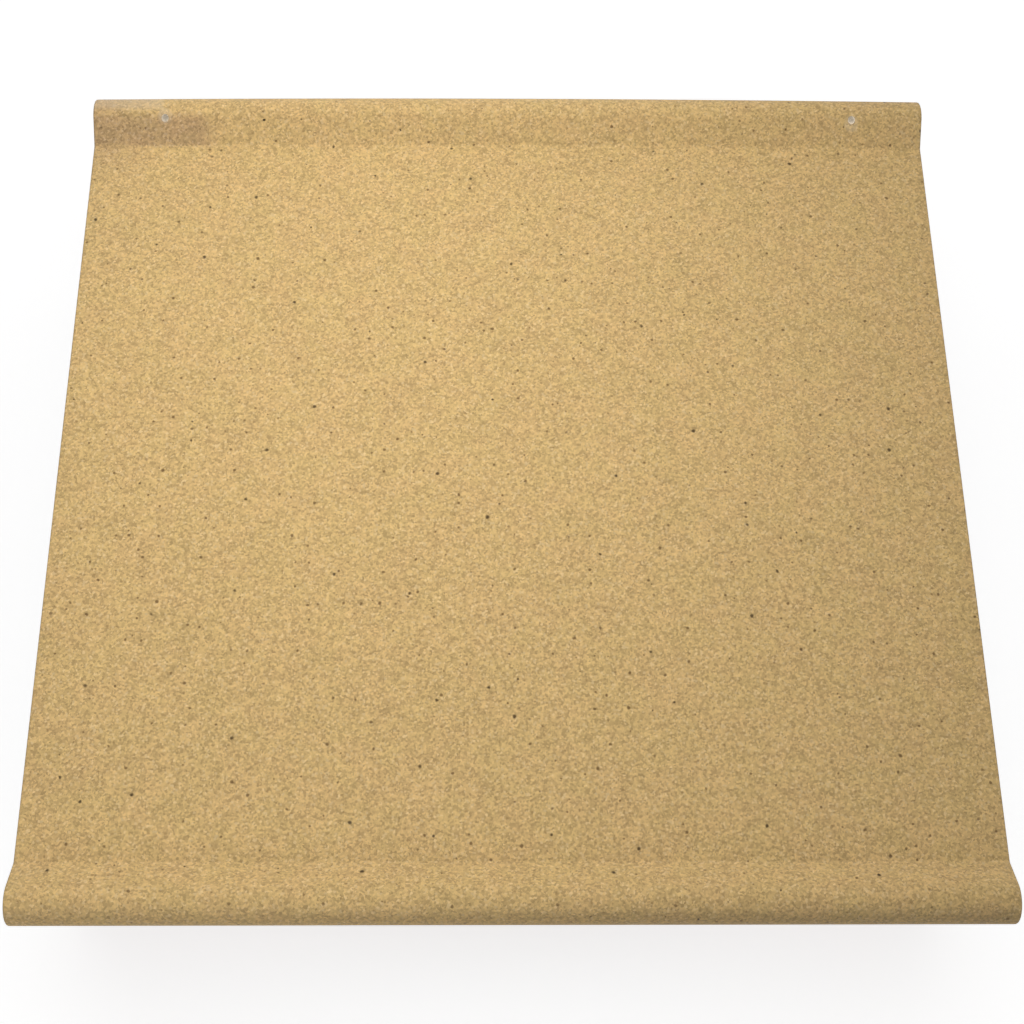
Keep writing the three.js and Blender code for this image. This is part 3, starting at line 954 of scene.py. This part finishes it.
def grip_ribs(look, side):
    """Upright half-round ribs that follow the arc of one side's finger groove."""
    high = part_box("body")[1]
    radius = (GROOVE_HALF ** 2 + GROOVE_DEPTH ** 2) / (2 * GROOVE_DEPTH)
    centre_x, centre_z = high.x - GROOVE_DEPTH + radius, high.z - GROOVE_DROP
    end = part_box("sole_plate")[1].y - GROOVE_LAND
    spread = math.asin(GROOVE_HALF / radius) * 0.86
    half_width, sunk = 0.75 * MM, 0.05 * MM
    steps, hops = 14, 6
    shape = bmesh.new()
    for index in range(look.rib_count):
        middle = -end + 2 * end * (index + 1) / (look.rib_count + 1)
        rings = []
        for step in range(steps + 1):
            share = step / steps
            turn = math.pi - spread + 2 * spread * share
            height = look.rib_height * math.sin(math.pi * share) ** 0.5
            ring = []
            for hop in range(hops + 1):
                across = math.pi * hop / hops
                lift = radius - height * math.sin(across) + sunk
                ring.append(shape.verts.new((
                    side * (centre_x + lift * math.cos(turn)),
                    middle - half_width * math.cos(across),
                    centre_z + lift * math.sin(turn),
                )))
            rings.append(ring)
        for one, two in zip(rings, rings[1:]):
            for hop in range(hops):
                shape.faces.new((one[hop], one[hop + 1], two[hop + 1], two[hop]))
            shape.faces.new((one[hops], one[0], two[0], two[hops]))
        shape.faces.new(rings[0])
        shape.faces.new(rings[-1])
    return to_mesh("grip_ribs", shape)


def refinish(node, material):
    """Gives a CAD node that is shown as it is a better material."""
    for place in node.material_slots:
        place.link = "OBJECT"
        place.material = material


class SANDING_OT_body(bpy.types.Operator):
    """Add the moulded body with its grip ribs, the sole plate, and the screws' finishes."""

    bl_idname = "sanding_block.body"
    bl_label = "Body and sole"

    def execute(self, context):
        look = context.scene.sanding_block.body
        plastic = plastic_finish(look)
        moulding = softened("body", look.edge_round)
        body = finished("body_moulding", moulding, "block", "body_plastic", plastic)
        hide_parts("body")
        for side, name in ((-1, "left"), (1, "right")):
            finished(f"grip_ribs_{name}", grip_ribs(look, side), "block", "body_plastic", plastic)
        metal = aluminium_finish(look)
        plate = softened("sole_plate", look.sole_round)
        sole = finished("sole_plate_sawn", plate, "block", "sole_aluminium", metal)
        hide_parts("sole_plate")
        steel = steel_finish("screw_steel", look.steel, 0.22, 1.0)
        brass = brass_finish(look)
        for name, node in frame["nodes"].items():
            if name.startswith("sole_screw"):
                refinish(node, steel)
            elif name.startswith("thread_insert"):
                refinish(node, brass)
        return {"FINISHED"}


# ---------------------------------------------------------------- pad and sheet


def pad_outline():
    """The pad's section: square above, with both lower corners rounded."""
    low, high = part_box("foam_pad")
    corner = pad_corner()
    centre = high.y - corner
    return [
        *arc((-centre, low.z + corner), corner, -math.pi, -math.pi / 2, 16),
        *arc((centre, low.z + corner), corner, -math.pi / 2, 0, 16),
        (high.y, high.z),
        (-high.y, high.z),
    ]


def pad_corner():
    """The lower corners' radius, which is where the sheet's flat underside ends."""
    sheet = frame["nodes"]["abrasive_sheet"].data
    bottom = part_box("abrasive_sheet")[0].z
    flat = max(vertex.co.y for vertex in sheet.vertices if vertex.co.z < bottom + FUSE / 10)
    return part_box("foam_pad")[1].y - flat


def pad_mesh(look):
    """The foam pad, with its cut sides swelling between the sole and the sheet."""
    low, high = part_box("foam_pad")
    shape = swept(pad_outline(), low.x, high.x, look.side_bulge * 2, edge_segments=6)
    return to_mesh("foam_pad_cut", shape, math.radians(50))


def sheet_mesh(look):
    """The abrasive sheet: grit outside, cloth backing inside and on its cut edges."""
    low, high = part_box("abrasive_sheet")
    pad_low, pad_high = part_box("foam_pad")
    corner = pad_corner()
    centre, base = pad_high.y - corner, pad_low.z + corner
    thick = pad_low.z - low.z
    flats = [base + (high.z - base) * step / 6 for step in range(1, 7)]
    outer = [
        *[(-high.y, z) for z in reversed(flats)],
        *arc((-centre, base), corner + thick, -math.pi, -math.pi / 2, 16),
        *arc((centre, base), corner + thick, -math.pi / 2, 0, 16),
        *[(high.y, z) for z in flats],
    ]
    inner = [
        *[(pad_high.y, z) for z in reversed(flats)],
        *arc((centre, base), corner, 0, -math.pi / 2, 16),
        *arc((-centre, base), corner, -math.pi / 2, -math.pi, 16),
        *[(-pad_high.y, z) for z in flats],
    ]
    shape = swept(outer + inner, low.x, high.x, 0.12 * MM, edge_segments=2)
    mesh = to_mesh("abrasive_sheet_wrapped", shape)
    grit, backing, lean = 0, 1, 0.55
    for face in mesh.polygons:
        outward = Vector((0, face.center.y, min(face.center.z - base, 0.0))).normalized()
        shows_grit = face.normal.dot(outward) > lean and abs(face.normal.x) < lean
        face.material_index = grit if shows_grit else backing
    return mesh


class SANDING_OT_pad(bpy.types.Operator):
    """Add the foam pad and the abrasive sheet that wraps it."""

    bl_idname = "sanding_block.pad"
    bl_label = "Pad and abrasive sheet"

    def execute(self, context):
        look = context.scene.sanding_block.pad
        pad = finished("foam_pad_cut", pad_mesh(look), "block", "pad_foam", foam_finish(look))
        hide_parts("foam_pad")
        sheet = finished(
            "abrasive_sheet_wrapped", sheet_mesh(look), "block", "abrasive",
            grit_finish(look), backing_finish(look),
        )
        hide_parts("abrasive_sheet")
        return {"FINISHED"}


# ---------------------------------------------------------------- clamps


def eased(share):
    """A share from 0 to 1, slowed at both ends."""
    return share * share * (3 - 2 * share)


def strip_line(look):
    """The clamp strip's middle line in (y, z), from the tab's tip up the leaf and round the pin.

    Returns the points, how many belong to the tab, and how many to tab and leaf up to the windows.
    """
    low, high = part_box("clamp_bar_rear")
    grip_low, grip_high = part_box("clamp_grip_pad_rear")
    half = look.strip / 2
    leaf = grip_high.y + half
    eye = high.z - PIVOT.z - half
    leaf_low = grip_low.z - 1.0 * MM
    window_low = PIVOT.z - 2.5 * MM
    tab_bend = 2.4 * MM
    curl_end = math.radians(-82)
    tip = (leaf + look.tab_flare - 0.1 * MM, low.z + 0.05 * MM)
    tab = [tip, *fillet(tip, (leaf, leaf_low), (leaf, window_low), tab_bend, 8)]
    rise = [(leaf, leaf_low + (window_low - leaf_low) * step / 4) for step in (2, 3, 4)]
    start, end = Vector(rise[-1]), Vector((PIVOT.y - eye, PIVOT.z - 0.2 * MM))
    sway = []
    for step in range(1, 8):
        share = step / 8
        sway.append((
            start.x + (end.x - start.x) * eased(share),
            start.y + (end.y - start.y) * share,
        ))
    curl = arc((PIVOT.y, PIVOT.z), eye, math.pi, curl_end, 30)
    return [*tab, *rise, *sway, *curl], len(tab), len(tab) + len(rise)


def clamp_mesh(look):
    """A pressed steel clamp: a leaf, a turned-out finger tab, and a rolled eye with two windows."""
    low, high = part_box("clamp_bar_rear")
    line, tab_points, window_points = strip_line(look)
    runs = [0.0]
    for one, two in zip(line, line[1:]):
        runs.append(runs[-1] + (Vector(two) - Vector(one)).length)
    leaf_start, window_start, end = runs[tab_points // 2], runs[window_points - 1], runs[-1]
    half_tab, corner, tab_corner = look.tab_width / 2, look.corner, look.tab_corner
    plan = [
        (low.x, leaf_start, corner),
        (-half_tab, leaf_start, corner / 2),
        (-half_tab, 0, tab_corner),
        (half_tab, 0, tab_corner),
        (half_tab, leaf_start, corner / 2),
        (high.x, leaf_start, corner),
        (high.x, end, 0),
    ]
    for index in (2, 1):
        spring_low, spring_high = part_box(f"torsion_spring_rear_{index}")
        middle = (spring_low.x + spring_high.x) / 2
        right, left = middle + look.window / 2, middle - look.window / 2
        plan += [
            (right, end, 0),
            (right, window_start, corner),
            (left, window_start, corner),
            (left, end, 0),
        ]
    plan.append((low.x, end, 0))
    shape = bmesh.new()
    shape.faces.new([shape.verts.new((x, run, 0)) for x, run in rounded_plan(plan)])
    for run in runs[1:-1]:
        bmesh.ops.bisect_plane(
            shape, geom=[*shape.verts, *shape.edges, *shape.faces], dist=1e-7,
            plane_co=(0, run, 0), plane_no=(0, 1, 0),
        )
    for vertex in shape.verts:
        step = max(index for index, run in enumerate(runs[:-1]) if run <= vertex.co.y + 1e-9)
        share = (vertex.co.y - runs[step]) / (runs[step + 1] - runs[step])
        y, z = Vector(line[step]).lerp(Vector(line[step + 1]), share)
        vertex.co = (vertex.co.x, y, z)
    blank = to_mesh("clamp_blank", shape)
    thick = ("SOLIDIFY", {"thickness": look.strip, "offset": 0.0, "use_even_offset": True})
    edges = rounded(0.14 * MM, 2, math.radians(55))
    mesh = settled(blank, "clamp_strip", thick, edges)
    smooth(mesh, math.radians(35))
    return mesh


def rounded_plan(plan):
    """An outline from corners that each have a radius."""
    points = []
    for index, (x, y, radius) in enumerate(plan):
        before, after = plan[index - 1][:2], plan[(index + 1) % len(plan)][:2]
        points += fillet(before, (x, y), after, radius) if radius > 0 else [(x, y)]
    return points


def spring_line(look, index):
    """The wire's middle line for one rear spring: wall leg, coil, then the leg on the leaf."""
    low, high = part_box(f"torsion_spring_rear_{index}")
    grip_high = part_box("clamp_grip_pad_rear")[1]
    wire = look.wire
    coil = high.z - PIVOT.z - wire
    start, end = low.x + wire, high.x - wire
    sweep = math.pi / 2 + 2 * math.pi * look.turns
    steps = 32 * look.turns + 8
    wall = low.y + wire
    points = [(start, wall + (PIVOT.y - wall) * step / 6, PIVOT.z + coil) for step in range(6)]
    for step in range(steps + 1):
        share = step / steps
        turn = math.pi / 2 - sweep * share
        points.append((
            start + (end - start) * share,
            PIVOT.y + coil * math.cos(turn),
            PIVOT.z + coil * math.sin(turn),
        ))
    side, leaf = PIVOT.y + coil, grip_high.y + look.strip + wire
    foot = low.z + 0.2 * MM
    for step in range(1, 17):
        share = step / 16
        inward = eased(min(1.0, share * 1.6))
        points.append((end, side + (leaf - side) * inward, PIVOT.z + (foot - PIVOT.z) * share))
    return points, start, end


def grip_mesh():
    """A rubber strip with shallow ribs along the face that meets the sheet."""
    low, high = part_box("clamp_grip_pad_rear")
    teeth, crest, gap, edge = 5, 0.3 * MM, 0.02 * MM, 0.1 * MM
    valley = low.y + 0.25 * MM
    outline = [(high.y, low.z), (high.y, high.z)]
    pitch = (high.z - low.z) / teeth
    for tooth in range(teeth):
        middle = high.z - pitch * (tooth + 0.5)
        outline += [
            (valley, middle + pitch / 2 - gap),
            *arc((low.y + crest, middle), crest, math.pi / 2, 3 * math.pi / 2, 6),
            (valley, middle - pitch / 2 + gap),
        ]
    return to_mesh("grip_strip", swept(outline, low.x, high.x, edge, edge_segments=2))


def axle_mesh():
    """The pivot pin: drawn wire with an upset head on its right end and a chamfer on its left."""
    low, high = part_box("pivot_pin_rear")
    radius, chamfer = 1.0 * MM, 0.2 * MM
    head, head_edge = high.z - PIVOT.z, 0.1 * MM
    thick = 0.7 * MM
    long = high.x - low.x
    dome = [
        (head - 0.5 * thick * (1 - math.cos(a)), long - 0.5 * thick * (1 - math.sin(a)))
        for a in (math.pi / 2 * step / 6 for step in range(7))
    ]
    shape = turned([
        (0, 0), (radius - chamfer, 0), (radius, chamfer), (radius, long - thick),
        (head - head_edge, long - thick), (head, long - thick + head_edge), *dome, (0, long),
    ], 48)
    shape.transform(laid_along_x(low.x, 1))
    return to_mesh("pivot_pin", shape)


def cap_mesh():
    """The push-on cap: a shallow dome with a rolled rim."""
    low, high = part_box("pin_cap_rear")
    radius = high.z - PIVOT.z
    thick = high.x - low.x
    socket, socket_mouth = 1.1 * MM, 1.15 * MM
    crown = [
        (radius * math.cos(a), thick * (0.35 + 0.65 * math.sin(a)))
        for a in (math.pi / 2 * step / 8 for step in range(8))
    ]
    shape = turned([
        (0, thick * 0.5), (socket, thick * 0.5), (socket_mouth, 0), (radius, 0), *crown, (0, thick),
    ], 48)
    shape.transform(laid_along_x(high.x, -1))
    return to_mesh("pin_cap", shape)


def laid_along_x(x, way):
    """Lays a shape turned about Z along the hinge line from x: way is 1 for right, -1 for left."""
    return Matrix.Translation((x, PIVOT.y, PIVOT.z)) @ Matrix.Rotation(way * math.pi / 2, 4, "Y")


class SANDING_OT_clamps(bpy.types.Operator):
    """Add both sprung clamps with their pins, caps, springs and grip pads."""

    bl_idname = "sanding_block.clamps"
    bl_label = "Clamps"

    def execute(self, context):
        look = context.scene.sanding_block.clamp
        steel_tone = context.scene.sanding_block.body.steel
        zinc = steel_finish("clamp_zinc", look.zinc, 0.26, 0.05)
        wire = steel_finish("spring_wire", look.zinc, 0.20, 1.0)
        bright = steel_finish("pivot_steel", steel_tone, 0.16, 0.05)
        rubber = rubber_finish(look)
        for end, turn in ENDS.items():
            moving = f"{end}_clamp"
            parts = (
                (f"clamp_bar_{end}", clamp_mesh(look), moving, "clamp_steel", zinc),
                (f"clamp_grip_pad_{end}", grip_mesh(), moving, "grip_rubber", rubber),
                (f"pivot_pin_{end}", axle_mesh(), "block", "bright_steel", bright),
                (f"pin_cap_{end}", cap_mesh(), "block", "bright_steel", bright),
            )
            for node, mesh, body, slot, material in parts:
                mesh.transform(turn)
                piece = finished(f"{node}_made", mesh, body, slot, material)
                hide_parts(node)
            for index in (1, 2):
                points, start, finish = spring_line(look, index)
                mesh = to_mesh("spring", tube(points, look.wire), math.radians(60))
                mesh.transform(turn)
                node = f"torsion_spring_{end}_{index}"
                spring = finished(f"{node}_made", mesh, None, "clamp_steel", wire)
                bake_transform(spring)
                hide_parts(node)
        return {"FINISHED"}


# ---------------------------------------------------------------- stage


def floor_finish(look):
    """White paper sweep that glows a little, so that it stays pale."""
    floor = Finish("floor_paper")
    tooth = floor.noise(1.2, 3.0, 0.6)
    tone = tuple(look.floor)
    duller = tuple(0.96 * channel for channel in tone)
    floor.drive("Base Color", floor.mix(tooth * 0.1, tone, duller))
    floor.set({
        "Roughness": 0.9, "Emission Color": (1, 1, 1, 1), "Emission Strength": look.floor_glow,
    })
    return floor.material


def linked_collection(context, name, pieces):
    """A collection that tells a light what it falls on."""
    group = bpy.data.collections.new(name)
    context.scene.collection.children.link(group)
    for piece in pieces:
        group.objects.link(piece)
    return group


def area_light(name, place, target, size, power):
    """A square panel of soft light that the camera doesn't see."""
    data = bpy.data.lights.new(name, "AREA")
    data.size = size
    data.energy = power
    lamp = bpy.data.objects.new(name, data)
    bpy.context.scene.collection.objects.link(lamp)
    lamp.location = place
    lamp.rotation_euler = (Vector(target) - Vector(place)).to_track_quat("-Z", "Y").to_euler()
    lamp.visible_camera = False
    return lamp


class SANDING_OT_stage(bpy.types.Operator):
    """Add the floor, lights and camera."""

    bl_idname = "sanding_block.stage"
    bl_label = "Stage"

    def execute(self, context):
        look = context.scene.sanding_block.stage
        palm = palm_height()
        self.add_floor(context, look)
        self.add_sky(context, look)
        self.add_lights(context, look, palm)
        self.add_camera(context, look, palm)
        return {"FINISHED"}

    def add_floor(self, context, look):
        """A round floor that sweeps up at its rim, so that every side has a pale background."""
        reach, rise = FLOOR_REACH, FLOOR_RISE
        rim = [
            (reach + rise * math.sin(a), rise * (1 - math.cos(a)))
            for a in (math.pi / 2 * step / 16 for step in range(17))
        ]
        shape = turned([(0, 0), (0.5 * reach, 0), *rim, (reach + rise, 1.6 * rise)], 96)
        floor = bpy.data.objects.new("floor", to_mesh("floor", shape, math.pi))
        floor.location.z = CAD_BOUNDS[0].z
        floor.data.materials.append(floor_finish(look))
        floor.visible_diffuse = False
        floor.visible_shadow = False
        context.scene.collection.objects.link(floor)
        floor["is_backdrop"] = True

    def add_sky(self, context, look):
        """Even surroundings, a little brighter overhead than underneath."""
        world = bpy.data.worlds.new("studio")
        context.scene.world = world
        world.use_nodes = True
        sky = Graph(world.node_tree)
        _, _, height = sky.parts(sky.node("ShaderNodeTexCoord").outputs["Generated"])
        low, high = [(level, level, level) for level in (look.low_sky, look.sky)]
        glow = sky.mix(sky.step(height, -0.25, 0.25), low, high)
        background = sky.node("ShaderNodeBackground", {}, {"Color": glow})
        sky.node("ShaderNodeOutputWorld", {}, {"Surface": background.outputs[0]})

    def add_lights(self, context, look, palm):
        """A key over the block, a strip for its front lip, a panel for the floor and four fills."""
        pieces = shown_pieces()
        covers = [piece for piece in pieces if piece.name.startswith("palm_cover")]
        below = [piece for piece in pieces if piece not in covers]
        floors = [piece for piece in context.scene.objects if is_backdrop(piece)]
        under_cover = linked_collection(context, "below_the_cover", below)

        above = Vector((-look.key_left, look.key_back, palm + look.key_height))
        key = area_light("key", above, above + KEY_AXIS, look.key_size, look.key_power)
        key.data.spread = look.key_spread
        key.visible_glossy = False
        key.light_linking.receiver_collection = linked_collection(context, "whole_block", pieces)

        lip = area_light("lip_light", **LIP_LIGHT, size=LIP_LIGHT_SIZE[0], power=look.lip_power)
        lip.data.shape = "RECTANGLE"
        lip.data.size_y = LIP_LIGHT_SIZE[1]
        lip.visible_glossy = False
        lip.light_linking.receiver_collection = linked_collection(context, "cover", covers)

        top = area_light("top_panel", **TOP_PANEL, size=TOP_PANEL_SIZE, power=look.top_power)
        top.visible_glossy = False
        top.light_linking.receiver_collection = linked_collection(context, "floor_only", floors)

        for name, azimuth in FILL_AZIMUTHS.items():
            turn = math.radians(azimuth)
            place = (FILL_REACH * math.cos(turn), FILL_REACH * math.sin(turn), FILL_HEIGHT)
            fill = area_light(name, place, (0, 0, palm / 2), FILL_SIZE, look.fill_power)
            fill.light_linking.receiver_collection = under_cover

    def add_camera(self, context, look, palm):
        """The camera: well above the palm and in front of it, with a slight roll."""
        data = bpy.data.cameras.new("camera")
        data.sensor_width = 36
        data.lens = look.lens
        data.clip_start = 0.01
        camera = bpy.data.objects.new("camera", data)
        context.scene.collection.objects.link(camera)
        turn = (
            Matrix.Rotation(look.azimuth, 4, "Z")
            @ Matrix.Rotation(math.pi / 2 - look.elevation, 4, "X")
            @ Matrix.Rotation(look.roll, 4, "Z")
        )
        aim = Matrix.Translation((-look.aim_left, -look.aim_forward, palm))
        camera.matrix_world = aim @ turn @ Matrix.Translation((0, 0, look.distance))
        context.scene.camera = camera
        context.scene.view_settings.view_transform = "Standard"


# ---------------------------------------------------------------- panel and registration


class SANDING_PT_panel(bpy.types.Panel):
    """Lists the block's operators and settings in the 3D view's sidebar."""

    bl_idname = "SANDING_PT_panel"
    bl_label = "Sanding Block"
    bl_space_type = "VIEW_3D"
    bl_region_type = "UI"
    bl_category = "Sanding Block"

    def draw(self, context):
        settings = context.scene.sanding_block
        for operator in OPERATORS:
            self.layout.operator(operator.bl_idname)
        for group in (settings.cover, settings.body, settings.pad, settings.clamp, settings.stage):
            box = self.layout.box()
            for name in group.__annotations__:
                box.prop(group, name)


OPERATORS = (SANDING_OT_cover, SANDING_OT_body, SANDING_OT_pad, SANDING_OT_clamps, SANDING_OT_stage)
GROUPS = (CoverSettings, BodySettings, PadSettings, ClampSettings, StageSettings, BlockSettings)


def register():
    """Registers the settings, operators and panel."""
    for kind in (*GROUPS, *OPERATORS, SANDING_PT_panel):
        bpy.utils.register_class(kind)
    bpy.types.Scene.sanding_block = bpy.props.PointerProperty(type=BlockSettings)


def unregister():
    """Takes away what register added."""
    del bpy.types.Scene.sanding_block
    for kind in reversed((*GROUPS, *OPERATORS, SANDING_PT_panel)):
        bpy.utils.unregister_class(kind)


def main():
    """Builds everything."""
    register()
    bpy.ops.sanding_block.cover()
    bpy.ops.sanding_block.body()
    bpy.ops.sanding_block.pad()
    bpy.ops.sanding_block.clamps()
    bpy.ops.sanding_block.stage()


if __name__ == "__main__":
    main()
